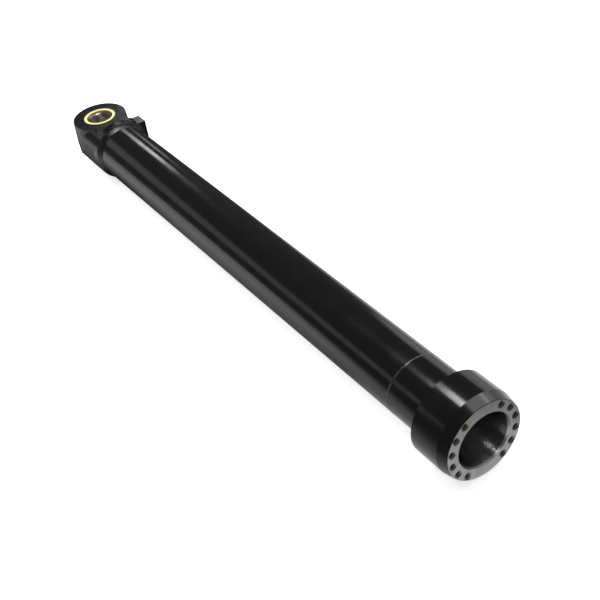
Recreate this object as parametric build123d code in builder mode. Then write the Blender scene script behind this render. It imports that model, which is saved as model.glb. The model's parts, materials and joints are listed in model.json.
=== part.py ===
from build123d import *
import os
from math import atan, degrees, isclose, radians, sqrt, tan

# Welded barrel of a double-acting hydraulic cylinder, in millimetres.
# Origin: centre of the pin bore in the eye. +X: along the barrel, from the eye to the open mouth.
# +Z: along the pin bore. +Y: the side that both oil ports face.

# ---------------------------------------------------------------- driving dimensions
barrel_od = 140.0
barrel_bore = 120.0
pin_to_mouth = 1552.0

# eye and neck of the forged cap
pin_diameter = 70.0
bushing_od = 85.0
bushing_length = 100.0
eye_width = 118.0
eye_face_radius = 72.8
eye_middle_radius = 75.0
eye_edge_break = 1.2
neck_radius = 78.3
neck_side = 73.0
neck_blend_start = 82.0
neck_blend_drop = 1.0
collar_start = 97.0
collar_end = 117.6
collar_edge_break = 1.0
spigot_radius = 61.0
spigot_end = 142.0
spigot_edge = 3.0

# weld between the cap and the tube
weld_root_width = 6.0
weld_toe_x = 132.0
weld_crown = 1.2

# forged head with its bolt flange
seam_x = 1357.0
seam_root = 1.4
seam_top = 5.0
seam_crown = 0.35
flange_od = 185.0
flange_length = 98.0
flange_face_od = 175.0
flange_taper_length = 25.0
flange_root_radius = 3.0
flange_edge_break = 1.0
mouth_chamfer = 2.2
mouth_chamfer_length = 5.0

# head bolts: M16, two groups of six on a sixteen-place circle
bolt_circle = 154.0
bolt_pitch = 22.5
bolts_per_group = 6
bolt_hole_diameter = 16.0
bolt_hole_depth = 32.0
bolt_mouth_chamfer = 0.9
drill_point_angle = 118.0

# oil ports: four-bolt flange pattern with M10 bolts
port_diameter = 19.0
port_bolt_x = 23.8
port_bolt_z = 50.8
port_bolt_diameter = 10.0
port_bolt_depth = 17.0
port_bolt_chamfer = 0.6
block_x0 = 60.0
block_x1 = 100.3
block_half_height = 47.6
block_face_y = 87.0
block_seat_y = 60.0
block_edge_break = 0.8
block_weld_top = 77.5
block_weld_leg = 6.0
passage_diameter = 20.0
passage_overrun = 5.0
head_port_x = 1487.0
head_port_face_y = 86.0
head_port_flat_x0 = 1461.0
head_port_flat_x1 = 1512.0

# pin bore: seals, bushing grooves
seal_od = 86.0
seal_case_wall = 1.5
seal_case_height = 6.5
seal_case_inner = 76.0
lip_diameter = 70.3
lip_body_diameter = 75.0
lip_top_step = 0.5
lip_rim_height = 1.2
lip_rim_break = 0.5
lip_land = 1.2
lip_undercut = 2.4
bushing_edge_break = 1.5
groove_count = 4
groove_phase = 45.0
groove_radius = 3.0
groove_length = 78.0
groove_depth = 1.8
ring_groove_width = 9.0
ring_groove_depth = 2.0
feed_hole_diameter = 6.0

# grease fitting, screwed into the end of the eye
spotface_diameter = 18.0
spotface_depth = 1.6
fitting_thread = 9.0
fitting_thread_length = 9.0
fitting_hole_depth = 12.0
grease_drill = 5.0
hex_across_flats = 11.0
hex_height = 5.0
hex_chamfer = 0.6
nipple_neck = 5.2
nipple_neck_length = 3.6
nipple_head = 6.6
nipple_head_length = 4.2
nipple_tip = 4.0
nipple_flare = 1.0
nipple_mouth = 2.0
nipple_mouth_depth = 1.3
ball_diameter = 3.2
ball_clearance = 0.05
ball_travel = 1.2
spring_diameter = 2.5
spring_wire = 0.35
spring_turns = 7
spring_gap = 0.02
crimp_opening = 1.6
crimp_thickness = 1.0

# ---------------------------------------------------------------- derived dimensions
tube_r = barrel_od / 2
bore_r = barrel_bore / 2
eye_half = eye_width / 2
bushing_half = bushing_length / 2
flange_r = flange_od / 2
flange_face_r = flange_face_od / 2
flange_x0 = pin_to_mouth - flange_length
taper_x0 = pin_to_mouth - flange_taper_length
tube_root_x = collar_end + weld_root_width
collar_toe_r = neck_radius - collar_edge_break
seal_recess_depth = eye_half - bushing_half
group_span = bolt_pitch * (bolts_per_group - 1)
port_x = (block_x0 + block_x1) / 2
block_length = block_x1 - block_x0
block_depth = block_face_y - block_seat_y
eye_end_x = -eye_middle_radius
fitting_seat_x = eye_end_x + spotface_depth
beyond = 2 * tube_r  # taller than any cut needs


# ---------------------------------------------------------------- shared features
def turned(points, mode=Mode.ADD):
    """Revolve a closed outline of (x, radius) points about the barrel's axis."""
    with BuildSketch(Plane.XZ) as outline:
        with BuildLine():
            Polyline(*points, close=True)
        make_face()
    revolve(outline.sketch, axis=Axis.X, mode=mode)


def ring_about_pin(points, mode=Mode.ADD):
    """Revolve a closed outline of (radius, z) points about the pin bore's axis."""
    with BuildSketch(Plane.XZ) as outline:
        with BuildLine():
            Polyline(*points, close=True)
        make_face()
    revolve(outline.sketch, axis=Axis.Z, mode=mode)


def tapped_hole(radius, depth, edge_break):
    """Cut a blind hole with a drill point and a chamfered mouth at the current locations."""
    point = radius / tan(radians(drill_point_angle / 2))
    with Locations((0, 0, -depth / 2)):
        Cylinder(radius, depth, mode=Mode.SUBTRACT)
    with Locations((0, 0, -depth - point / 2)):
        Cone(0, radius, point, mode=Mode.SUBTRACT)
    with Locations((0, 0, -edge_break / 2)):
        Cone(radius, radius + edge_break, edge_break, mode=Mode.SUBTRACT)


def neck_and_collar(mode=Mode.ADD):
    """The neck with its flats, and the round collar that the tube is welded to."""
    with BuildSketch(Plane.YZ) as section:
        Circle(neck_radius)
        Rectangle(2 * neck_side, eye_width, mode=Mode.INTERSECT)
    extrude(section.sketch, amount=collar_start, mode=mode)
    turned(
        [
            (neck_blend_start, 0),
            (neck_blend_start, eye_half - neck_blend_drop),
            (collar_start, neck_radius),
            (collar_end - collar_edge_break, neck_radius),
            (collar_end, collar_toe_r),
            (collar_end, 0),
        ],
        mode=mode,
    )


def port_face_plane(x, y):
    """Plane on a port face: local X along +Z, local Y along +X, normal along +Y."""
    return Plane(origin=(x, y, 0), x_dir=(0, 0, 1), z_dir=(0, 1, 0))


def port_bolt_holes(x, y):
    """Four tapped holes of the port flange pattern."""
    with Locations(port_face_plane(x, y)):
        with GridLocations(port_bolt_z, port_bolt_x, 2, 2):
            tapped_hole(port_bolt_diameter / 2, port_bolt_depth, port_bolt_chamfer)


def write_part(builder, node):
    """Label a finished piece and write it under its node name."""
    builder.part.label = node
    export_step(builder.part, f"parts/{node}.step")


os.makedirs("parts", exist_ok=True)

# ---------------------------------------------------------------- barrel tube
with BuildPart() as barrel_tube:
    turned(
        [
            (tube_root_x, spigot_radius),
            (weld_toe_x, tube_r),
            (seam_x - seam_top / 2, tube_r),
            (seam_x - seam_root / 2, bore_r),
            (spigot_end, bore_r),
            (spigot_end, spigot_radius),
        ]
    )
write_part(barrel_tube, "barrel_tube")

# ---------------------------------------------------------------- eye end cap
with BuildPart() as eye_end_cap:
    # lower half of the eye, turned down to the neck's radius
    ring_about_pin(
        [
            (0, 0),
            (eye_middle_radius, 0),
            (eye_face_radius, -eye_half + eye_edge_break),
            (eye_face_radius - eye_edge_break, -eye_half),
            (0, -eye_half),
        ]
    )
    with BuildSketch(Plane.YZ):
        Circle(neck_radius)
    extrude(amount=beyond, both=True, mode=Mode.INTERSECT)
    # upper half of the eye, left as a full round boss
    ring_about_pin(
        [
            (0, 0),
            (eye_middle_radius, 0),
            (eye_face_radius, eye_half - eye_edge_break),
            (eye_face_radius - eye_edge_break, eye_half),
            (0, eye_half),
        ]
    )
    neck_and_collar()
    # spigot that centres the tube and backs the weld
    turned(
        [
            (collar_end, 0),
            (collar_end, spigot_radius),
            (spigot_end - spigot_edge, spigot_radius),
            (spigot_end, spigot_radius - spigot_edge),
            (spigot_end, 0),
        ]
    )
    # pin bore with a seal recess at each end
    Cylinder(bushing_od / 2, eye_width, mode=Mode.SUBTRACT)
    for side in (1, -1):
        with Locations((0, 0, side * (eye_half - seal_recess_depth / 2))):
            Cylinder(seal_od / 2, seal_recess_depth, mode=Mode.SUBTRACT)
    # milled seat for the port block
    with Locations((port_x, block_seat_y + beyond / 2, 0)):
        Box(block_length, beyond, 2 * block_half_height, mode=Mode.SUBTRACT)
    # oil passage: across from the port, then forward into the bore
    with BuildSketch(port_face_plane(port_x, block_face_y)):
        Circle(port_diameter / 2)
    extrude(amount=-block_face_y - passage_overrun, mode=Mode.SUBTRACT)
    with BuildSketch(Plane.YZ.offset(port_x - passage_overrun)):
        Circle(passage_diameter / 2)
    extrude(amount=spigot_end, mode=Mode.SUBTRACT)
    # grease passage from the end of the eye to the bushing
    with BuildSketch(Plane.YZ.offset(eye_end_x)):
        Circle(spotface_diameter / 2)
    extrude(amount=spotface_depth, mode=Mode.SUBTRACT)
    with BuildSketch(Plane.YZ.offset(fitting_seat_x)):
        Circle(fitting_thread / 2)
    extrude(amount=fitting_hole_depth, mode=Mode.SUBTRACT)
    with BuildSketch(Plane.YZ.offset(fitting_seat_x)):
        Circle(grease_drill / 2)
    extrude(amount=-fitting_seat_x - pin_diameter / 2, mode=Mode.SUBTRACT)
write_part(eye_end_cap, "eye_end_cap")

# ---------------------------------------------------------------- weld between cap and tube
crown_x = (collar_end + weld_toe_x) / 2
crown_r = (collar_toe_r + tube_r) / 2 + weld_crown
with BuildPart() as cap_weld:
    with BuildSketch(Plane.XZ):
        with BuildLine():
            Polyline(
                (weld_toe_x, tube_r),
                (tube_root_x, spigot_radius),
                (collar_end, spigot_radius),
                (collar_end, collar_toe_r),
            )
            ThreePointArc((collar_end, collar_toe_r), (crown_x, crown_r), (weld_toe_x, tube_r))
        make_face()
    revolve(axis=Axis.X)
write_part(cap_weld, "cap_weld")

# ---------------------------------------------------------------- head with bolt flange
with BuildPart() as head_flange:
    turned(
        [
            (seam_x + seam_root / 2, bore_r),
            (seam_x + seam_top / 2, tube_r),
            (flange_x0, tube_r),
            (flange_x0, flange_r - flange_edge_break),
            (flange_x0 + flange_edge_break, flange_r),
            (taper_x0, flange_r),
            (pin_to_mouth - flange_edge_break, flange_face_r),
            (pin_to_mouth, flange_face_r - flange_edge_break),
            (pin_to_mouth, bore_r + mouth_chamfer),
            (pin_to_mouth - mouth_chamfer_length, bore_r),
        ]
    )
    circles = head_flange.edges().filter_by(GeomType.CIRCLE)
    tube_circles = circles.filter_by(lambda edge: isclose(edge.radius, tube_r))
    fillet(tube_circles.sort_by(Axis.X)[-1], flange_root_radius)
    # flat for the head port
    flat_length = head_port_flat_x1 - head_port_flat_x0
    with Locations((head_port_flat_x0 + flat_length / 2, head_port_face_y + beyond / 2, 0)):
        Box(flat_length, beyond, flange_od, mode=Mode.SUBTRACT)
    with BuildSketch(port_face_plane(head_port_x, head_port_face_y)):
        Circle(port_diameter / 2)
    extrude(amount=-head_port_face_y, mode=Mode.SUBTRACT)
    port_bolt_holes(head_port_x, head_port_face_y)
    # two groups of tapped holes in the face
    with Locations(Plane(origin=(pin_to_mouth, 0, 0), x_dir=(0, 1, 0), z_dir=(1, 0, 0))):
        for group_centre in (0, 180):
            first = group_centre - group_span / 2
            with PolarLocations(bolt_circle / 2, bolts_per_group, first, group_span, endpoint=True):
                tapped_hole(bolt_hole_diameter / 2, bolt_hole_depth, bolt_mouth_chamfer)
write_part(head_flange, "head_flange")

# ---------------------------------------------------------------- ground seam weld of the head
with BuildPart() as head_seam_weld:
    turned(
        [
            (seam_x - seam_root / 2, bore_r),
            (seam_x - seam_top / 2, tube_r),
            (seam_x - seam_root / 2, tube_r + seam_crown),
            (seam_x + seam_root / 2, tube_r + seam_crown),
            (seam_x + seam_top / 2, tube_r),
            (seam_x + seam_root / 2, bore_r),
        ]
    )
write_part(head_seam_weld, "head_seam_weld")

# ---------------------------------------------------------------- base port block
with BuildPart() as base_port_block:
    with Locations((port_x, block_seat_y + block_depth / 2, 0)):
        Box(block_length, block_depth, 2 * block_half_height)
    chamfer(base_port_block.faces().sort_by(Axis.Y)[-1].edges(), block_edge_break)
    with BuildSketch(port_face_plane(port_x, block_face_y)):
        Circle(port_diameter / 2)
    extrude(amount=-block_depth, mode=Mode.SUBTRACT)
    port_bolt_holes(port_x, block_face_y)
write_part(base_port_block, "base_port_block")

# ---------------------------------------------------------------- fillet weld round the port block
weld_taper = degrees(atan(block_weld_leg / (block_weld_top - block_seat_y)))
with BuildPart() as port_block_weld:
    with BuildSketch(port_face_plane(port_x, block_seat_y)):
        Rectangle(2 * (block_half_height + block_weld_leg), block_length + 2 * block_weld_leg)
    extrude(amount=block_weld_top - block_seat_y, taper=weld_taper)
    with Locations((port_x, block_seat_y + block_depth / 2, 0)):
        Box(block_length, block_depth, 2 * block_half_height, mode=Mode.SUBTRACT)
    neck_and_collar(mode=Mode.SUBTRACT)
write_part(port_block_weld, "port_block_weld")

# ---------------------------------------------------------------- pin bushing
with BuildPart() as pin_bushing:
    Cylinder(bushing_od / 2, bushing_length)
    Cylinder(pin_diameter / 2, bushing_length, mode=Mode.SUBTRACT)
    chamfer(pin_bushing.edges().filter_by(GeomType.CIRCLE), bushing_edge_break)
    # ring groove and feed holes that carry grease in from outside
    ring_outer = bushing_od / 2
    ring_inner = ring_outer - ring_groove_depth
    ring_half = ring_groove_width / 2
    ring_about_pin(
        [(ring_inner, -ring_half), (beyond, -ring_half), (beyond, ring_half), (ring_inner, ring_half)],
        mode=Mode.SUBTRACT,
    )
    with PolarLocations(ring_outer, groove_count, groove_phase):
        with Locations(Rotation(0, 90, 0)):
            Cylinder(feed_hole_diameter / 2, bushing_od / 2, mode=Mode.SUBTRACT)
    # blind axial grooves that spread it along the pin
    with PolarLocations(pin_diameter / 2 - groove_radius + groove_depth, groove_count, groove_phase):
        Cylinder(groove_radius, groove_length, mode=Mode.SUBTRACT)
write_part(pin_bushing, "pin_bushing")


# ---------------------------------------------------------------- pin seals, one at each face of the eye
def seal_case(side):
    """Steel case: a thin cup with an inward floor, pressed into the recess."""
    floor_z = side * bushing_half
    outer = seal_od / 2
    ring_about_pin(
        [
            (seal_case_inner / 2, floor_z),
            (outer, floor_z),
            (outer, floor_z + side * seal_case_height),
            (outer - seal_case_wall, floor_z + side * seal_case_height),
            (outer - seal_case_wall, floor_z + side * seal_case_wall),
            (seal_case_inner / 2, floor_z + side * seal_case_wall),
        ]
    )


def seal_lip(side):
    """Polyurethane wiper: fills the case, laps over its rim and reaches in to the pin."""
    floor_z = bushing_half + seal_case_wall
    rim_z = bushing_half + seal_case_height
    top_z = rim_z + lip_rim_height
    crest_z = top_z + lip_top_step
    outer = seal_od / 2
    body_r = lip_body_diameter / 2
    lip_r = lip_diameter / 2
    outline = [
        (body_r, floor_z),
        (outer - seal_case_wall, floor_z),
        (outer - seal_case_wall, rim_z),
        (outer, rim_z),
        (outer, top_z - lip_rim_break),
        (outer - lip_rim_break, top_z),
        (body_r + lip_undercut, top_z),
        (lip_r + lip_land, crest_z),
        (lip_r, crest_z),
        (lip_r, crest_z - lip_land),
        (body_r, crest_z - lip_land - lip_undercut),
    ]
    ring_about_pin([(r, side * z) for r, z in outline])


for place, side in (("upper", 1), ("lower", -1)):
    with BuildPart() as pin_seal_case:
        seal_case(side)
    write_part(pin_seal_case, f"{place}_seal_case")
    with BuildPart() as pin_seal_lip:
        seal_lip(side)
    write_part(pin_seal_lip, f"{place}_seal_lip")

# ---------------------------------------------------------------- grease fitting
hex_x = fitting_seat_x - hex_height
neck_x = hex_x - nipple_neck_length
head_x = neck_x - nipple_flare
tip_x = hex_x - nipple_neck_length - nipple_head_length
chamber_x = tip_x + nipple_mouth_depth
chamber_r = ball_diameter / 2 + ball_clearance
crimp_x = fitting_seat_x + fitting_thread_length
ball_x = chamber_x + sqrt((ball_diameter / 2) ** 2 - (nipple_mouth / 2) ** 2)
with BuildPart() as grease_fitting:
    with BuildSketch(Plane.YZ.offset(hex_x)):
        RegularPolygon(hex_across_flats / 2, 6, major_radius=False)
    extrude(amount=hex_height)
    chamfer(grease_fitting.faces().sort_by(Axis.X)[0].edges(), hex_chamfer)
    turned(
        [
            (crimp_x, 0),
            (crimp_x, fitting_thread / 2 - hex_chamfer),
            (crimp_x - hex_chamfer, fitting_thread / 2),
            (hex_x, fitting_thread / 2),
            (hex_x, nipple_neck / 2),
            (neck_x, nipple_neck / 2),
            (head_x, nipple_head / 2),
            (head_x - nipple_flare, nipple_head / 2),
            (tip_x, nipple_tip / 2),
            (tip_x, 0),
        ]
    )
    # ball chamber, open at the tip and part closed by the crimp behind the spring
    turned(
        [(tip_x, 0), (tip_x, nipple_mouth / 2), (chamber_x, nipple_mouth / 2), (chamber_x, 0)],
        mode=Mode.SUBTRACT,
    )
    turned(
        [
            (chamber_x, 0),
            (chamber_x, chamber_r),
            (crimp_x - crimp_thickness, chamber_r),
            (crimp_x - crimp_thickness, 0),
        ],
        mode=Mode.SUBTRACT,
    )
    turned(
        [
            (crimp_x - crimp_thickness, 0),
            (crimp_x - crimp_thickness, crimp_opening / 2),
            (crimp_x, crimp_opening / 2),
            (crimp_x, 0),
        ],
        mode=Mode.SUBTRACT,
    )
write_part(grease_fitting, "grease_fitting")

with BuildPart() as grease_check_ball:
    with Locations((ball_x, 0, 0)):
        Sphere(ball_diameter / 2)
write_part(grease_check_ball, "grease_check_ball")

spring_x0 = ball_x + ball_diameter / 2 + spring_wire / 2 + spring_gap
spring_x1 = crimp_x - crimp_thickness - spring_wire / 2 - spring_gap
with BuildPart() as grease_spring:
    with BuildLine():
        coil = Helix(
            pitch=(spring_x1 - spring_x0) / spring_turns,
            height=spring_x1 - spring_x0,
            radius=(spring_diameter - spring_wire) / 2,
            center=(spring_x0, 0, 0),
            direction=(1, 0, 0),
        )
    with BuildSketch(Plane(origin=coil @ 0, z_dir=coil % 0)):
        Circle(spring_wire / 2)
    sweep(is_frenet=True)
write_part(grease_spring, "grease_spring")
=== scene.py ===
import json
import math

import bpy
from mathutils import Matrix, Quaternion, Vector, noise


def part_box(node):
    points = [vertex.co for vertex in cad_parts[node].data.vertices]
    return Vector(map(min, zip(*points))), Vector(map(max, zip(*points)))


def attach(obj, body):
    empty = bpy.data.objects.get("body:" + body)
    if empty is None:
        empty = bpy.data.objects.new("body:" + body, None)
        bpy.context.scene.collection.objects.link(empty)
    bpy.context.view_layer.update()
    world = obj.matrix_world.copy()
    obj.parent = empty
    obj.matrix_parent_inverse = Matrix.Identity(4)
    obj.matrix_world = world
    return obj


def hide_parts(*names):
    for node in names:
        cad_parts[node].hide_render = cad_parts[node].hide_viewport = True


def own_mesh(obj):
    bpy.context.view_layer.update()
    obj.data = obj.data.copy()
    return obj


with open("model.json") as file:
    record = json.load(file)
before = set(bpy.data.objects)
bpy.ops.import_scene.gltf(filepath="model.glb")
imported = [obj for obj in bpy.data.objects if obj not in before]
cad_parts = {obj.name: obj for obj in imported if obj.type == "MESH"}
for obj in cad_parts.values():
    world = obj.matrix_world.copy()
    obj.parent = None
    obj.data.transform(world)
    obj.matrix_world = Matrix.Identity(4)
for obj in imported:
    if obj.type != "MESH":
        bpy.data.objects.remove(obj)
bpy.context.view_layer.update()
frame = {"nodes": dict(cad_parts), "record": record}

# Everything is in metres, in the CAD frame: +X from the eye to the open mouth, +Z along the pin bore.
MM = 0.001
TAU = 2 * math.pi

# ---------------------------------------------------------------- places read from the frame
MOUNTS = {mount["name"]: mount for mount in frame["record"]["mounts"]}
MOUTH_X = MOUNTS["head_face"]["pos_m"][0]
BORE_R = MOUNTS["barrel_bore"]["dims"]["r_mm"] * MM
PIN_R = MOUNTS["pin_bore"]["dims"]["r_mm"] * MM
SEAL_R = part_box("upper_seal_case")[1].x
FLANGE_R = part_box("head_flange")[1].z
TUBE_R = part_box("barrel_tube")[1].z
FLOOR_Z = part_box("head_flange")[0].z

X_AXIS, Y_AXIS, Z_AXIS = Vector((1, 0, 0)), Vector((0, 1, 0)), Vector((0, 0, 1))

# Sizes that the frame doesn't state.
NECK_FLAT_Y = 73 * MM      # the flat on the neck that the port block stands on
SPRING_WIRE_R = 0.175 * MM
HEAD_THREAD = {"minor_r": 6.92 * MM, "pitch": 2 * MM, "depth": 29 * MM}      # M16
PORT_THREAD = {"minor_r": 4.19 * MM, "pitch": 1.5 * MM, "depth": 15 * MM}    # M10


# ---------------------------------------------------------------- shader building
class Shader:
    """A Principled material under construction. Its methods add nodes and return an output socket,
    except feed, which sets or links a socket, and finish, which returns the material.
    """

    def __init__(self, name, **constants):
        self.material = bpy.data.materials.new(name)
        self.material.use_nodes = True
        self.nodes = self.material.node_tree.nodes
        self.links = self.material.node_tree.links
        self.surface = self.nodes["Principled BSDF"]
        for socket, value in constants.items():
            self.surface.inputs[socket.replace("_", " ")].default_value = value
        self.place = self.nodes.new("ShaderNodeTexCoord").outputs["Object"]
        split = self.nodes.new("ShaderNodeSeparateXYZ")
        self.links.new(self.place, split.inputs[0])
        self.x, self.y, self.z = split.outputs

    def feed(self, socket, value):
        if isinstance(value, bpy.types.NodeSocket):
            self.links.new(value, socket)
        else:
            socket.default_value = value

    def math(self, operation, *values):
        node = self.nodes.new("ShaderNodeMath")
        node.operation = operation
        for socket, value in zip(node.inputs, values):
            self.feed(socket, value)
        return node.outputs[0]

    def span(self, *parts):
        """Length of the vector with these parts."""
        total = self.math("MULTIPLY", parts[0], parts[0])
        for part in parts[1:]:
            total = self.math("MULTIPLY_ADD", part, part, total)
        return self.math("SQRT", total)

    def offset(self, value, centre):
        """Distance of a coordinate from a centre, along one axis."""
        return self.math("ABSOLUTE", self.math("SUBTRACT", value, centre))

    def below(self, value, limit):
        return self.math("LESS_THAN", value, limit)

    def above(self, value, limit):
        return self.math("GREATER_THAN", value, limit)

    def both(self, a, b):
        return self.math("MULTIPLY", a, b)

    def either(self, a, b):
        return self.math("MAXIMUM", a, b)

    def vector(self, x, y, z):
        node = self.nodes.new("ShaderNodeCombineXYZ")
        for socket, value in zip(node.inputs, (x, y, z)):
            self.feed(socket, value)
        return node.outputs[0]

    def noise(self, size, detail=2.0, place=None, roughness=0.5):
        """Noise from 0 to 1 with lumps of this size."""
        node = self.nodes.new("ShaderNodeTexNoise")
        self.links.new(place or self.place, node.inputs["Vector"])
        node.inputs["Scale"].default_value = 1 / size
        node.inputs["Detail"].default_value = detail
        node.inputs["Roughness"].default_value = roughness
        return node.outputs["Fac"]

    def stretch(self, value, low, high, to_low=0.0, to_high=1.0):
        node = self.nodes.new("ShaderNodeMapRange")
        for socket, number in zip(node.inputs, (value, low, high, to_low, to_high)):
            self.feed(socket, number)
        return node.outputs[0]

    def blend(self, share, a, b):
        """Number a where share is 0, number b where it is 1."""
        node = self.nodes.new("ShaderNodeMix")
        for socket, value in zip((node.inputs[0], node.inputs[2], node.inputs[3]), (share, a, b)):
            self.feed(socket, value)
        return node.outputs[0]

    def tint(self, share, a, b):
        """Colour a where share is 0, colour b where it is 1."""
        node = self.nodes.new("ShaderNodeMix")
        node.data_type = "RGBA"
        colours = [(*c, 1.0) if isinstance(c, tuple) else c for c in (a, b)]
        for socket, value in zip((node.inputs[0], node.inputs[6], node.inputs[7]), (share, *colours)):
            self.feed(socket, value)
        return node.outputs[2]

    def blend_normal(self, share, a, b):
        """Normal a where share is 0, normal b where it is 1."""
        node = self.nodes.new("ShaderNodeMix")
        node.data_type = "VECTOR"
        for socket, value in zip((node.inputs[0], node.inputs[4], node.inputs[5]), (share, a, b)):
            self.feed(socket, value)
        return node.outputs[1]

    def bump(self, height, depth, under=None):
        """Relief of this depth where height runs from 0 to 1, on top of the relief under it."""
        node = self.nodes.new("ShaderNodeBump")
        node.inputs["Distance"].default_value = depth
        self.links.new(height, node.inputs["Height"])
        if under:
            self.links.new(under, node.inputs["Normal"])
        return node.outputs[0]

    def lean(self, along, amount, under=None):
        """The normal tipped along a direction by this amount, on top of the relief under it."""
        push, tipped, unit = (self.nodes.new("ShaderNodeVectorMath") for _ in range(3))
        push.operation, tipped.operation, unit.operation = "SCALE", "ADD", "NORMALIZE"
        self.feed(push.inputs[0], along)
        self.feed(push.inputs["Scale"], amount)
        under = under or self.nodes.new("ShaderNodeNewGeometry").outputs["Normal"]
        self.links.new(under, tipped.inputs[0])
        self.links.new(push.outputs[0], tipped.inputs[1])
        self.links.new(tipped.outputs[0], unit.inputs[0])
        return unit.outputs[0]

    def turning_slope(self, across, pitch, low, high):
        """Slope of fine tool marks of this pitch, for lean. Their steepness varies from low to high."""
        uneven = self.noise(2.3 * pitch, 2.0, self.vector(across, 0, 0))
        steep = self.stretch(uneven, 0.3, 0.7, low, high)
        return self.both(steep, self.math("SINE", self.math("MULTIPLY", across, TAU / pitch)))

    def finish(self, colour, metallic, roughness, normal):
        for name, value in (
            ("Base Color", colour),
            ("Metallic", metallic),
            ("Roughness", roughness),
            ("Normal", normal),
        ):
            self.feed(self.surface.inputs[name], value)
        return self.material


# ---------------------------------------------------------------- finishes
PAINT_BLACK = (0.0045, 0.0045, 0.005)
PAINT_DUST = (0.028, 0.026, 0.023)
STEEL_LIGHT = (0.50, 0.50, 0.49)
STEEL_DARK = (0.33, 0.33, 0.325)
OIL_STAIN = (0.24, 0.235, 0.215)
# Greenish-grey tint on the mouth face near the bore, stronger towards the top.
FACE_TOP_TINT = (0.40, 0.42, 0.33)
BORE_DRY, BORE_OILED = (0.40, 0.41, 0.42), (0.30, 0.31, 0.31)
SEAM_GREY = (0.075, 0.073, 0.070)


def paint_look(s):
    """Gloss black enamel: orange peel, slow waves, a little settled dust."""
    peel = s.noise(2.6 * MM, 1.5)
    waves = s.noise(38 * MM, 1.0)
    specks = s.stretch(s.noise(0.9 * MM, 3.0), 0.66, 0.78)
    patches = s.stretch(s.noise(60 * MM, 3.0), 0.42, 0.72)
    dust = s.both(specks, patches)
    colour = s.tint(dust, PAINT_BLACK, PAINT_DUST)
    roughness = s.math("MULTIPLY_ADD", dust, 0.2, s.stretch(patches, 0, 1, 0.14, 0.19))
    normal = s.bump(peel, 0.012 * MM, s.bump(waves, 0.08 * MM))
    return colour, 0.0, roughness, normal


def turned_look(s, across, pitch):
    """Bare steel faced on a lathe: rings of uneven depth at each value of the coordinate across."""
    line = s.vector(across, 0, 0)
    rings = s.noise(pitch, 3.0, line, 0.65)
    bands = s.noise(9 * pitch, 2.0, line)
    stains = s.stretch(s.noise(24 * MM, 4.0), 0.46, 0.74)
    colour = s.tint(stains, s.tint(rings, STEEL_DARK, STEEL_LIGHT), OIL_STAIN)
    roughness = s.stretch(s.math("ADD", rings, bands), 0.6, 1.4, 0.26, 0.42)
    return colour, 1.0, roughness, s.bump(rings, 0.02 * MM)


def honed_look(s):
    """Bore honed to a cross-hatch over faint turning marks, with a film of oil."""
    around = s.math("MULTIPLY", s.math("ARCTAN2", s.z, s.y), BORE_R)
    hatch = None
    for slope in (0.6, -0.6):
        slant = s.math("MULTIPLY_ADD", around, slope, s.x)
        scratches = s.noise(0.45 * MM, 2.0, s.vector(slant, s.math("MULTIPLY", around, 0.03), 0))
        hatch = scratches if hatch is None else s.math("ADD", hatch, scratches)
    film = s.stretch(s.noise(45 * MM, 2.0), 0.4, 0.7)
    colour = s.tint(film, BORE_DRY, BORE_OILED)
    roughness = s.stretch(film, 0, 1, 0.23, 0.19)
    slope = s.turning_slope(s.x, 0.35 * MM, 0.2, 0.72)
    return colour, 1.0, roughness, s.lean((1, 0, 0), slope, s.bump(hatch, 0.002 * MM))


def part_painted(name, bare_where, bare_look):
    """Paint all over, except where bare_where(shader) is 1."""
    s = Shader(name, IOR=1.5)
    mask = bare_where(s)
    paint, bare = paint_look(s), bare_look(s)
    colour = s.tint(mask, paint[0], bare[0])
    roughness = s.blend(mask, paint[2], bare[2])
    return s.finish(colour, mask, roughness, s.blend_normal(mask, paint[3], bare[3]))


def radius_about_x(s):
    return s.span(s.y, s.z)


def radius_about_z(s):
    return s.span(s.x, s.y)


# Each mask below is 1 where metal is bare. SKIN is how far a mask reaches past the surface it takes in.
SKIN = 0.3 * MM


def port_machining(s, port):
    """1 on a port's machined face and inside its holes."""
    face_skin, hole_start, bolt_chamfer = 0.15 * MM, 0.1 * MM, 0.8 * MM
    face_half, port_side_y = 40 * MM, 30 * MM
    x0, face_y, _ = MOUNTS[port]["pos_m"]
    bolts = MOUNTS[port + "_bolts"]
    half_x = bolts["dims"]["spacing_x_mm"] / 2 * MM
    half_z = bolts["dims"]["spacing_y_mm"] / 2 * MM
    inside = s.below(s.y, face_y - hole_start)
    along, up = s.offset(s.x, x0), s.math("ABSOLUTE", s.z)
    port_hole = s.below(s.span(along, up), MOUNTS[port]["dims"]["r_mm"] * MM + SKIN)
    from_bolt = s.span(s.offset(along, half_x), s.offset(up, half_z))
    bolt_hole = s.below(from_bolt, bolts["dims"]["hole_r_mm"] * MM + bolt_chamfer)
    face = s.below(s.offset(s.y, face_y), face_skin)
    on_side = s.above(s.y, port_side_y)
    holes = s.both(s.either(port_hole, bolt_hole), s.both(inside, on_side))
    return s.either(holes, s.both(face, s.below(along, face_half)))


def tube_bare(s):
    """The bore and its lead-in chamfer."""
    mouth_chamfer = 2.7 * MM
    return s.below(radius_about_x(s), BORE_R + mouth_chamfer)


def head_bare(s):
    """The mouth face, the bolt holes behind it, the bore and the head port."""
    face_inset, hole_inset, hole_depth = 5.7 * MM, 6.2 * MM, 50 * MM
    out = radius_about_x(s)
    face = s.both(s.above(s.x, MOUTH_X - SKIN), s.below(out, FLANGE_R - face_inset))
    holes = s.both(s.above(s.x, MOUTH_X - hole_depth), s.below(out, FLANGE_R - hole_inset))
    return s.either(s.either(face, holes), s.either(tube_bare(s), port_machining(s, "head_port")))


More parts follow.
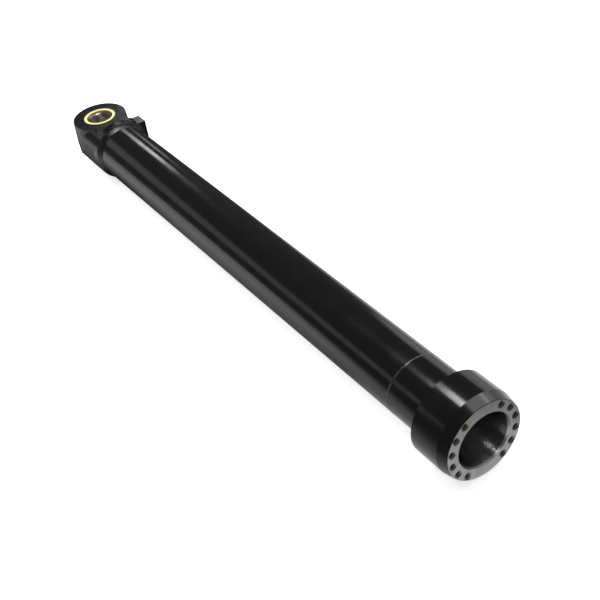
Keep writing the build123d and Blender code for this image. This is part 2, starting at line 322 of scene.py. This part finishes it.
def cap_bare(s):
    """The eye's bore and the spigot inside the tube."""
    before_tube, spigot_step = 6 * MM, 1.2 * MM
    pin_bore = s.below(radius_about_z(s), SEAL_R + SKIN)
    in_tube = s.above(s.x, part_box("barrel_tube")[0].x - before_tube)
    spigot = s.both(in_tube, s.below(radius_about_x(s), BORE_R + spigot_step))
    return s.either(pin_bore, spigot)


def block_bare(s):
    return port_machining(s, "base_port")


def head_look(s):
    """Turned face outside the bore, honed inside it, with a greenish-grey tint on the face near the bore
    that grows towards the top.
    """
    bore_skin, tint_r = 0.4 * MM, 72 * MM
    out = radius_about_x(s)
    inner = s.below(out, BORE_R + bore_skin)
    turned, honed = turned_look(s, out, 0.7 * MM), honed_look(s)
    # Greenish-grey tint within tint_r of the axis, rising from none below the axis to most near the top.
    top_tint_share = s.both(s.below(out, tint_r), s.stretch(s.z, -10 * MM, 50 * MM, 0.0, 0.8))
    colour = s.tint(inner, s.tint(top_tint_share, turned[0], FACE_TOP_TINT), honed[0])
    roughness = s.blend(inner, turned[2], honed[2])
    return colour, 1.0, roughness, s.blend_normal(inner, turned[3], honed[3])


def cap_look(s):
    return turned_look(s, s.z, 0.6 * MM)


def block_look(s):
    return turned_look(s, s.x, 0.9 * MM)


def bushing_finish():
    """Hardened steel, fine-turned along the pin's axis, with grease smears."""
    s = Shader("bushing_steel")
    rings = s.noise(0.4 * MM, 3.0, s.vector(s.z, 0, 0), 0.7)
    smear = s.stretch(s.noise(16 * MM, 3.0), 0.42, 0.66)
    bright = s.tint(rings, (0.52, 0.48, 0.45), (0.72, 0.68, 0.65))
    colour = s.tint(smear, bright, (0.42, 0.37, 0.33))
    roughness = s.stretch(s.math("ADD", rings, smear), 0.3, 1.5, 0.24, 0.36)
    slope = s.turning_slope(s.z, 0.3 * MM, 0.3, 0.9)
    return s.finish(colour, 1.0, roughness, s.lean((0, 0, 1), slope))


def plain_steel(name, light, dark, grain, rough):
    """Drawn or pressed steel: fine grain and faint oil marks."""
    s = Shader(name)
    fine = s.noise(grain, 4.0, roughness=0.7)
    marks = s.stretch(s.noise(12 * grain, 3.0), 0.4, 0.7)
    colour = s.tint(marks, s.tint(fine, light, dark), dark)
    roughness = s.stretch(s.math("ADD", fine, marks), 0.3, 1.5, rough * 0.8, rough * 1.4)
    return s.finish(colour, 1.0, roughness, s.bump(fine, grain * 0.02))


def lip_finish():
    """Cast polyurethane: pale yellow, faintly mottled, a satin skin with fine flow lines round the ring."""
    s = Shader("yellow_polyurethane", Subsurface_Weight=0.12, Subsurface_Scale=1.5 * MM, IOR=1.5)
    mottle = s.noise(7 * MM, 4.0)
    flow = s.noise(0.8 * MM, 2.0, s.vector(radius_about_z(s), s.z, 0))
    specks = s.stretch(s.noise(1.1 * MM, 3.0), 0.68, 0.76)
    base = s.tint(mottle, (0.93, 0.85, 0.30), (0.97, 0.92, 0.46))
    colour = s.tint(s.math("MULTIPLY", specks, 0.4), base, (0.50, 0.42, 0.16))
    roughness = s.stretch(s.math("ADD", flow, mottle), 0.6, 1.4, 0.30, 0.42)
    return s.finish(colour, 0.0, roughness, s.bump(flow, 0.03 * MM))


def weld_finish():
    """Welds under the same paint, with a fine grit that dulls it."""
    s = Shader("painted_weld", IOR=1.5)
    colour, _, roughness, normal = paint_look(s)
    grit = s.noise(1.4 * MM, 3.0)
    roughness = s.math("MULTIPLY_ADD", grit, 0.10, roughness)
    return s.finish(colour, 0.0, roughness, s.bump(grit, 0.05 * MM, normal))


def seam_finish():
    """Ground seam: paint lies thin over the grinding marks and lets grey steel show in places."""
    s = Shader("ground_seam", IOR=1.5)
    colour, _, roughness, normal = paint_look(s)
    marks = s.noise(0.7 * MM, 3.0, s.vector(s.x, 0, 0), 0.7)
    thin = s.stretch(s.noise(5 * MM, 3.0), 0.35, 0.6)
    grey = s.tint(s.both(marks, thin), colour, SEAM_GREY)
    roughness = s.math("MULTIPLY_ADD", marks, 0.18, roughness)
    return s.finish(grey, 0.0, roughness, s.bump(marks, 0.05 * MM, normal))


def thread_finish():
    """Cut thread: bright bare steel with a fine grain."""
    s = Shader("cut_thread")
    grain = s.noise(0.6 * MM, 3.0)
    colour = s.tint(grain, (0.42, 0.42, 0.41), (0.60, 0.60, 0.59))
    return s.finish(colour, 1.0, s.stretch(grain, 0.3, 0.7, 0.34, 0.48), s.bump(grain, 0.01 * MM))


# Plain steels: a light colour, a dark colour, the size of the grain, and the roughness.
PLAIN_STEELS = {
    "case_steel": ((0.52, 0.52, 0.51), (0.34, 0.34, 0.33), 0.7 * MM, 0.30),
    "zinc_plate": ((0.72, 0.64, 0.42), (0.52, 0.46, 0.33), 0.5 * MM, 0.24),
    "bearing_steel": ((0.70, 0.70, 0.72), (0.55, 0.55, 0.57), 0.3 * MM, 0.08),
    "spring_steel": ((0.50, 0.50, 0.53), (0.30, 0.30, 0.33), 0.2 * MM, 0.30),
}
steels = {name: plain_steel(name, *look) for name, look in PLAIN_STEELS.items()}
painted_weld = weld_finish()
lip_yellow = lip_finish()
cut_thread = thread_finish()
FINISHES = {
    "barrel_tube": part_painted("tube_paint_and_hone", tube_bare, honed_look),
    "head_flange": part_painted("head_paint_and_steel", head_bare, head_look),
    "eye_end_cap": part_painted("cap_paint_and_steel", cap_bare, cap_look),
    "base_port_block": part_painted("block_paint_and_steel", block_bare, block_look),
    "head_seam_weld": seam_finish(),
    "cap_weld": painted_weld,
    "port_block_weld": painted_weld,
    "pin_bushing": bushing_finish(),
    "upper_seal_case": steels["case_steel"],
    "lower_seal_case": steels["case_steel"],
    "upper_seal_lip": lip_yellow,
    "lower_seal_lip": lip_yellow,
    "grease_fitting": steels["zinc_plate"],
    "grease_check_ball": steels["bearing_steel"],
    "grease_spring": steels["spring_steel"],
}
for node, finish in FINISHES.items():
    part = frame["nodes"][node]
    for slot in part.material_slots:
        slot.material = finish


# ---------------------------------------------------------------- mesh building
def new_piece(name, points, faces, material, replaced=None, crease=40):
    """A smooth-shaded mesh that rides on the barrel."""
    mesh = bpy.data.meshes.new(name)
    mesh.from_pydata(points, [], faces)
    mesh.shade_smooth()
    mesh.set_sharp_from_angle(angle=math.radians(crease))
    mesh.materials.append(material)
    piece = bpy.data.objects.new(name, mesh)
    bpy.context.scene.collection.objects.link(piece)
    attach(piece, "barrel")
    if replaced:
        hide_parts(replaced)
    return piece


def grid_faces(rows, columns, close_rows=True):
    """Quads between rows of points. Each row is a closed loop; the rows close into a ring too if asked."""
    faces = []
    for i in range(rows if close_rows else rows - 1):
        for j in range(columns):
            a, b = i * columns, (i + 1) % rows * columns
            k = (j + 1) % columns
            faces.append((a + j, a + k, b + k, b + j))
    return faces


def ripple(step, bend):
    """Height from -1 to 0 of a weld's ripples: rounded crests with narrow valleys between them."""
    crest = abs(math.sin(math.pi * (step - bend)))
    return -((1 - crest) ** 2)


# ---------------------------------------------------------------- weld between cap and tube
def cap_weld_piece():
    """Two weld passes side by side, rippled round the barrel, on the root that fills the groove."""
    low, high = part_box("cap_weld")
    x0, x1, r0, r1 = low.x, high.x, high.z, TUBE_R
    root_r, root_x = BORE_R + 1 * MM, high.x - 8.4 * MM
    ripples, per_ripple, across = 150, 8, 18
    crown, depth, valley = 1.1 * MM, 0.35 * MM, 0.7 * MM
    second_pass_lag, valley_width, valley_wander = 0.4, 0.07, 0.03
    points = []
    rows = ripples * per_ripple
    for i in range(rows):
        turn = i / rows * TAU
        wander = noise.noise(Vector((3 * math.cos(turn), 3 * math.sin(turn), 0)))
        for j in range(across + 1):
            u = j / across
            pass_u = 2 * u - 1 if u > 0.5 else 2 * u
            step = i / per_ripple + (second_pass_lag if u > 0.5 else 0)
            bump_up = crown * math.sin(math.pi * u)
            groove = valley * math.exp(-(((u - 0.5 - valley_wander * wander) / valley_width) ** 2))
            wave = depth * ripple(step, 0.5 * (2 * pass_u - 1) ** 2) * math.sin(math.pi * u) ** 0.5
            r = r0 + (r1 - r0) * u + bump_up - groove + wave * (1 + 0.5 * wander)
            points.append((x0 + (x1 - x0) * u, r * math.cos(turn), r * math.sin(turn)))
        for x in (root_x, x0):
            points.append((x, root_r * math.cos(turn), root_r * math.sin(turn)))
    faces = grid_faces(rows, across + 3)
    new_piece("cap_weld_beads", points, faces, painted_weld, "cap_weld", 70)


# ---------------------------------------------------------------- fillet weld round the port block
def neck_surface_y(z, neck_r, flat_y):
    """Height of the neck's skin under the block's edge."""
    return min(math.sqrt(neck_r**2 - z**2), flat_y)


def block_weld_path(spacing):
    """Closed path along the corner between the block's sides and the neck."""
    low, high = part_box("base_port_block")
    neck_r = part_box("eye_end_cap")[1].z
    path = []
    corners = [(low.x, low.z), (high.x, low.z), (high.x, high.z), (low.x, high.z)]
    for i, (x0, z0) in enumerate(corners):
        x1, z1 = corners[(i + 1) % 4]
        length = abs(x1 - x0) + abs(z1 - z0)
        flat_y = neck_r if x0 == x1 == high.x else NECK_FLAT_Y
        count = max(2, round(length / spacing))
        for k in range(count):
            t = k / count
            x, z = x0 + (x1 - x0) * t, z0 + (z1 - z0) * t
            path.append(Vector((x, neck_surface_y(z, neck_r, flat_y), z)))
    return path


def port_weld_piece():
    """A convex rippled bead swept round the foot of the port block, with its corners smoothed."""
    pitch, bead_r, depth = 2.6 * MM, 4.3 * MM, 0.3 * MM
    per_ripple, around, reach = 8, 12, 14
    unevenness, lumps_per_metre = 0.10, 160
    path = block_weld_path(pitch / per_ripple)
    count = len(path)
    smooth = []
    for i in range(count):
        near = (path[(i + k) % count] for k in range(-reach, reach + 1))
        smooth.append(sum(near, Vector()) / (2 * reach + 1))
    points = []
    for i, centre in enumerate(smooth):
        along = (smooth[(i + 1) % count] - smooth[i - 1]).normalized()
        side = along.cross(Y_AXIS).normalized()
        up = side.cross(along)
        uneven = 1 + unevenness * noise.noise(centre * lumps_per_metre)
        for j in range(around):
            turn = j / around * TAU
            wave = depth * ripple(i / per_ripple, 0.4 * math.cos(turn))
            r = bead_r * uneven + wave
            points.append(centre + r * (math.cos(turn) * side + math.sin(turn) * up))
    faces = grid_faces(count, around)
    new_piece("port_block_bead", points, faces, painted_weld, "port_block_weld", 70)


# ---------------------------------------------------------------- threads in the bolt holes
def thread_ridge(centre, axis, side, major_r, minor_r, pitch, depth):
    """Points and faces of one internal thread: a helical ridge that fades out at both ends."""
    per_turn = 28
    steps = int(depth / pitch * per_turn)
    up = axis.cross(side)
    root_half, crest_half = 0.43 * pitch, 0.125 * pitch
    foot_r = major_r + 0.05 * MM
    least_rise = 0.02
    points = []
    for i in range(steps + 1):
        turn = i / per_turn * TAU
        out = math.cos(turn) * side + math.sin(turn) * up
        rise = min(1.0, 2 * i / per_turn, 2 * (steps - i) / per_turn)
        crest_r = major_r - (major_r - minor_r) * max(rise, least_rise)
        at = centre - axis * (pitch * i / per_turn + pitch / 2)
        points.append(at + out * foot_r - axis * root_half)
        points.append(at + out * crest_r - axis * crest_half)
        points.append(at + out * crest_r + axis * crest_half)
        points.append(at + out * foot_r + axis * root_half)
    faces = [tuple(reversed(f)) for f in grid_faces(steps + 1, 4, close_rows=False)]
    last = steps * 4
    faces += [(0, 1, 2, 3), (last + 3, last + 2, last + 1, last)]
    return points, faces


def threads_piece(name, centres, axis, side, hole_r, minor_r, pitch, depth):
    """All the threads of one or more bolt patterns in one mesh."""
    points, faces = [], []
    for centre in centres:
        new_points, new_faces = thread_ridge(centre, axis, side, hole_r, minor_r, pitch, depth)
        first = len(points)
        points += new_points
        faces += [tuple(first + k for k in face) for face in new_faces]
    new_piece(name, points, faces, cut_thread, crease=35)


def bolt_places(pattern, across, up):
    """Where the four threads of a bolt pattern start."""
    mount = MOUNTS[pattern]
    half_across = mount["dims"]["spacing_x_mm"] / 2 * MM
    half_up = mount["dims"]["spacing_y_mm"] / 2 * MM
    middle = Vector(mount["pos_m"])
    return [middle + j * half_across * across + k * half_up * up for j in (1, -1) for k in (1, -1)]


def head_threads():
    """The twelve head bolt threads, which are stated as three patterns of four."""
    patterns = ("head_bolts_inner", "head_bolts_middle", "head_bolts_outer")
    centres = [place for name in patterns for place in bolt_places(name, Y_AXIS, Z_AXIS)]
    hole_r = MOUNTS[patterns[0]]["dims"]["hole_r_mm"] * MM
    threads_piece("head_bolt_threads", centres, X_AXIS, Y_AXIS, hole_r, **HEAD_THREAD)


def port_threads(port):
    """The four flange bolt threads of one port."""
    pattern = port + "_bolts"
    hole_r = MOUNTS[pattern]["dims"]["hole_r_mm"] * MM
    centres = bolt_places(pattern, X_AXIS, Z_AXIS)
    threads_piece(port + "_bolt_threads", centres, Y_AXIS, Z_AXIS, hole_r, **PORT_THREAD)


# ---------------------------------------------------------------- wiper lips
def rounded(corners, radii, steps=5):
    """A closed outline with each corner rounded by an arc of the given radius."""
    outline = []
    count = len(corners)
    for i, (corner, radius) in enumerate(zip(corners, radii)):
        here, before, after = Vector(corner), Vector(corners[i - 1]), Vector(corners[(i + 1) % count])
        a, b = (before - here).normalized(), (after - here).normalized()
        half = a.angle(b) / 2
        reach = radius / math.tan(half)
        middle = here + (a + b).normalized() * (radius / math.sin(half))
        start, stop = here + a * reach - middle, here + b * reach - middle
        for k in range(steps + 1):
            t = k / steps
            outline.append(middle + start.lerp(stop, t).normalized() * radius)
    return outline


def wiper_piece(side):
    """Polyurethane wiper: a soft-edged body that laps over its case, with a raised lip at the pin."""
    node = {1: "upper_seal_lip", -1: "lower_seal_lip"}[side]
    low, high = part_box(node)
    foot, crest = sorted((abs(low.z), abs(high.z)))
    outer, top, rim = SEAL_R, crest - 0.5 * MM, crest - 1.7 * MM
    lip_r, body_r, wall = PIN_R + 0.15 * MM, PIN_R + 2.5 * MM, 1.5 * MM
    corners = [
        (body_r, foot), (outer - wall, foot), (outer - wall, rim), (outer, rim), (outer, top),
        (body_r + 2.4 * MM, top), (lip_r + 1.3 * MM, crest), (lip_r, crest), (lip_r, crest - 1.1 * MM),
        (body_r, crest - 3.4 * MM),
    ]
    radii = [0.3, 0.2, 0.05, 0.05, 0.6, 1.2, 0.4, 0.35, 0.3, 0.8]
    outline = rounded(corners, [r * MM for r in radii])
    steps = 160
    points = []
    for i in range(steps):
        turn = i / steps * TAU
        points += [(p.x * math.cos(turn), p.x * math.sin(turn), side * p.y) for p in outline]
    faces = grid_faces(steps, len(outline))
    if side < 0:
        faces = [tuple(reversed(face)) for face in faces]
    name = node.replace("lip", "wiper")
    new_piece(name, points, faces, lip_yellow, node, 60)


# ---------------------------------------------------------------- spring in the grease nipple
def spring_piece():
    """A wound coil with closed ends."""
    low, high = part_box("grease_spring")
    coil_r = high.z - SPRING_WIRE_R
    turns, per_turn, around = 7, 36, 10
    length = high.x - low.x
    closed_rise = 2.05 * SPRING_WIRE_R
    open_rise = (length - 2 * SPRING_WIRE_R - 2 * closed_rise) / (turns - 2)
    points = []
    for i in range(turns * per_turn + 1):
        t = i / per_turn
        closed_turns = min(t, 1) + max(t - (turns - 1), 0)
        x = low.x + SPRING_WIRE_R + closed_rise * closed_turns + open_rise * (t - closed_turns)
        for j in range(around):
            turn = j / around * TAU
            r = coil_r + SPRING_WIRE_R * math.cos(turn)
            along = x - SPRING_WIRE_R * math.sin(turn)
            points.append((along, r * math.cos(t * TAU), r * math.sin(t * TAU)))
    last = turns * per_turn * around
    faces = grid_faces(turns * per_turn + 1, around, close_rows=False)
    faces += [tuple(reversed(range(around))), tuple(range(last, last + around))]
    steel = steels["spring_steel"]
    piece = new_piece("coiled_spring", points, faces, steel, "grease_spring", 60)
    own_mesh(piece)


cap_weld_piece()
port_weld_piece()
spring_piece()
head_threads()
port_threads("base_port")
port_threads("head_port")
wiper_piece(1)
wiper_piece(-1)


# ---------------------------------------------------------------- studio
def direction(azimuth, elevation):
    """Unit vector at an azimuth from +X towards +Y and an elevation, in degrees."""
    a, e = math.radians(azimuth), math.radians(elevation)
    return Vector((math.cos(a) * math.cos(e), math.sin(a) * math.cos(e), math.sin(e)))


def soft_light(name, seen_from, azimuth, elevation, distance, size, brightness, turned=0):
    """A rectangular light that faces the point it is seen from, turned about that line of sight.

    Its energy grows with its area, so brightness is how bright its surface looks, and 1 is white.
    """
    lamp = bpy.data.lights.new(name, "AREA")
    lamp.shape = "RECTANGLE"
    lamp.size, lamp.size_y = size
    lamp.energy = brightness * math.pi * size[0] * size[1]
    light = bpy.data.objects.new(name, lamp)
    away = direction(azimuth, elevation)
    light.location = Vector(seen_from) + away * distance
    light.rotation_mode = "QUATERNION"
    light.rotation_quaternion = away.to_track_quat("Z", "Y") @ Quaternion((0, 0, 1), math.radians(turned))
    bpy.context.scene.collection.objects.link(light)
    return light


def floor_finish():
    """White to the camera. Reflections see it with painted shadow and painted light: a share of white that
    changes with place.
    """
    s = Shader("studio_floor", Roughness=0.9, Emission_Color=(1, 1, 1, 1))
    glow, white = 0.72, (0.86, 0.86, 0.86)
    out = s.math("ABSOLUTE", s.y)
    # Painted shadow at the foot of the object, darkest at its eye end.
    foot = s.math("ADD", s.stretch(s.x, 0.1, 0.5, 0.03, 0.15), s.stretch(s.x, 1.15, 1.47, 0, 0.6))
    near = s.stretch(out, 0.09, 0.24, foot, 0.62)
    # Painted light that falls off far away on the -Y side, and the object's painted cast shadow on the +Y
    # side towards the eye end.
    left = s.stretch(s.math("MULTIPLY_ADD", s.x, 0.6, out), 0.85, 1.2, 1.0, 0.1)
    right = s.stretch(s.x, 0.25, 1.35, 0.04, 1.1)
    painted_shade_beside = s.both(near, s.blend(s.stretch(s.y, -0.03, 0.03), left, right))
    # Past the mouth a painted pool of light, which falls off further ahead.
    skewed = s.math("MULTIPLY_ADD", s.y, 1.2, s.math("MULTIPLY", s.x, 2.8))
    painted_light_ahead = s.stretch(skewed, 4.2, 5.0, 0.84, 0.12)
    # Painted shadow and painted light on the floor, as reflections see it.
    painted_shade = s.blend(s.above(s.x, MOUTH_X), painted_shade_beside, painted_light_ahead)
    # Camera rays see plain white; other rays see the painted shadow and painted light.
    camera_ray = s.nodes.new("ShaderNodeLightPath").outputs["Is Camera Ray"]
    share = s.blend(camera_ray, painted_shade, 1.0)
    s.feed(s.surface.inputs["Base Color"], s.tint(share, (0, 0, 0), white))
    s.feed(s.surface.inputs["Emission Strength"], s.both(share, glow))
    clear = s.nodes.new("ShaderNodeBsdfTransparent")
    mix = s.nodes.new("ShaderNodeMixShader")
    side = s.nodes.new("ShaderNodeNewGeometry")
    s.links.new(side.outputs["Backfacing"], mix.inputs[0])
    s.links.new(s.surface.outputs[0], mix.inputs[1])
    s.links.new(clear.outputs[0], mix.inputs[2])
    s.links.new(mix.outputs[0], s.nodes["Material Output"].inputs["Surface"])
    return s.material


def make_floor():
    """A large pale floor that glows, so that it stays white to its edges. It is clear from below."""
    reach = 9.0
    corners = [(x * reach, y * reach, FLOOR_Z) for x, y in ((-1, -1), (1, -1), (1, 1), (-1, 1))]
    mesh = bpy.data.meshes.new("studio_floor")
    mesh.from_pydata(corners, [], [(0, 1, 2, 3)])
    mesh.materials.append(floor_finish())
    floor = bpy.data.objects.new("studio_floor", mesh)
    bpy.context.scene.collection.objects.link(floor)


def make_world():
    """A backdrop that is white to the camera, and dim in reflections."""
    reflected, seen = (0.10, 0.10, 0.103, 1), (0.97, 0.97, 0.97, 1)
    world = bpy.data.worlds.new("studio")
    bpy.context.scene.world = world
    world.use_nodes = True
    nodes, links = world.node_tree.nodes, world.node_tree.links
    path = nodes.new("ShaderNodeLightPath")
    mix = nodes.new("ShaderNodeMix")
    mix.data_type = "RGBA"
    mix.inputs[6].default_value = reflected
    mix.inputs[7].default_value = seen
    links.new(path.outputs["Is Camera Ray"], mix.inputs[0])
    links.new(mix.outputs[2], nodes["Background"].inputs["Color"])


def make_camera():
    """In front of the mouth, above it and on its -Y side, rolled a little."""
    place, target = Vector((2.6150, -0.9056, 1.4786)), Vector((0.9544, 0.0, -0.0260))
    roll = math.radians(-9.64)
    data = bpy.data.cameras.new("camera")
    data.sensor_width = 36
    data.lens = 66.158
    camera = bpy.data.objects.new("camera", data)
    camera.location = place
    aim = (target - place).to_track_quat("-Z", "Y")
    camera.rotation_mode = "QUATERNION"
    camera.rotation_quaternion = aim @ Quaternion((0, 0, 1), roll)
    bpy.context.scene.collection.objects.link(camera)
    bpy.context.scene.camera = camera


make_floor()
make_world()
make_camera()
NEAR_EYE = (0.28, 0, TUBE_R)
NEAR_MOUTH = (1.5, 0, FLANGE_R)
soft_light("overhead", (1.0, 1.4, 0), 90, 89, 2.5, (1.8, 2.8), 2.2)
soft_light("eye_overhead", (0.3, 0, 0), 90, 89, 2.5, (0.9, 0.6), 16.0)
soft_light("back_strip", NEAR_EYE, 156.5, 27.7, 3.5, (0.80, 0.16), 9.0, turned=42)
soft_light("second_strip", NEAR_EYE, 145, 8.5, 3.5, (0.40, 0.16), 1.6, turned=78)
soft_light("left_window", (0.8, 0, TUBE_R), -142, 20, 3.6, (3.2, 0.8), 0.5)
soft_light("flange_strip", NEAR_MOUTH, 164, 56, 3.0, (0.075, 0.16), 10.0, turned=28)
soft_light("side_window", (0.75, 0, 0.45), 90, 0, 1.9, (2.2, 1.0), 0.75)
soft_light("taper_window", (0.95, 0, 1.6), 90, 0, 1.9, (1.1, 1.4), 1.6)
soft_light("mouth_lamp", NEAR_MOUTH, -57, 56, 3.0, (0.15, 0.3), 40.0)
soft_light("bore_lamp", NEAR_MOUTH, -35, 43, 3.0, (0.10, 0.12), 130.0)
soft_light("far_card", (0.8, 0, 0), 30, 40, 3.5, (1.2, 0.8), 0.6)
fill = soft_light("eye_fill", (0, 0, 0), -90, 70, 2.5, (1.5, 1.5), 4.5)
fill.visible_glossy = False
bpy.context.scene.view_settings.view_transform = "Standard"
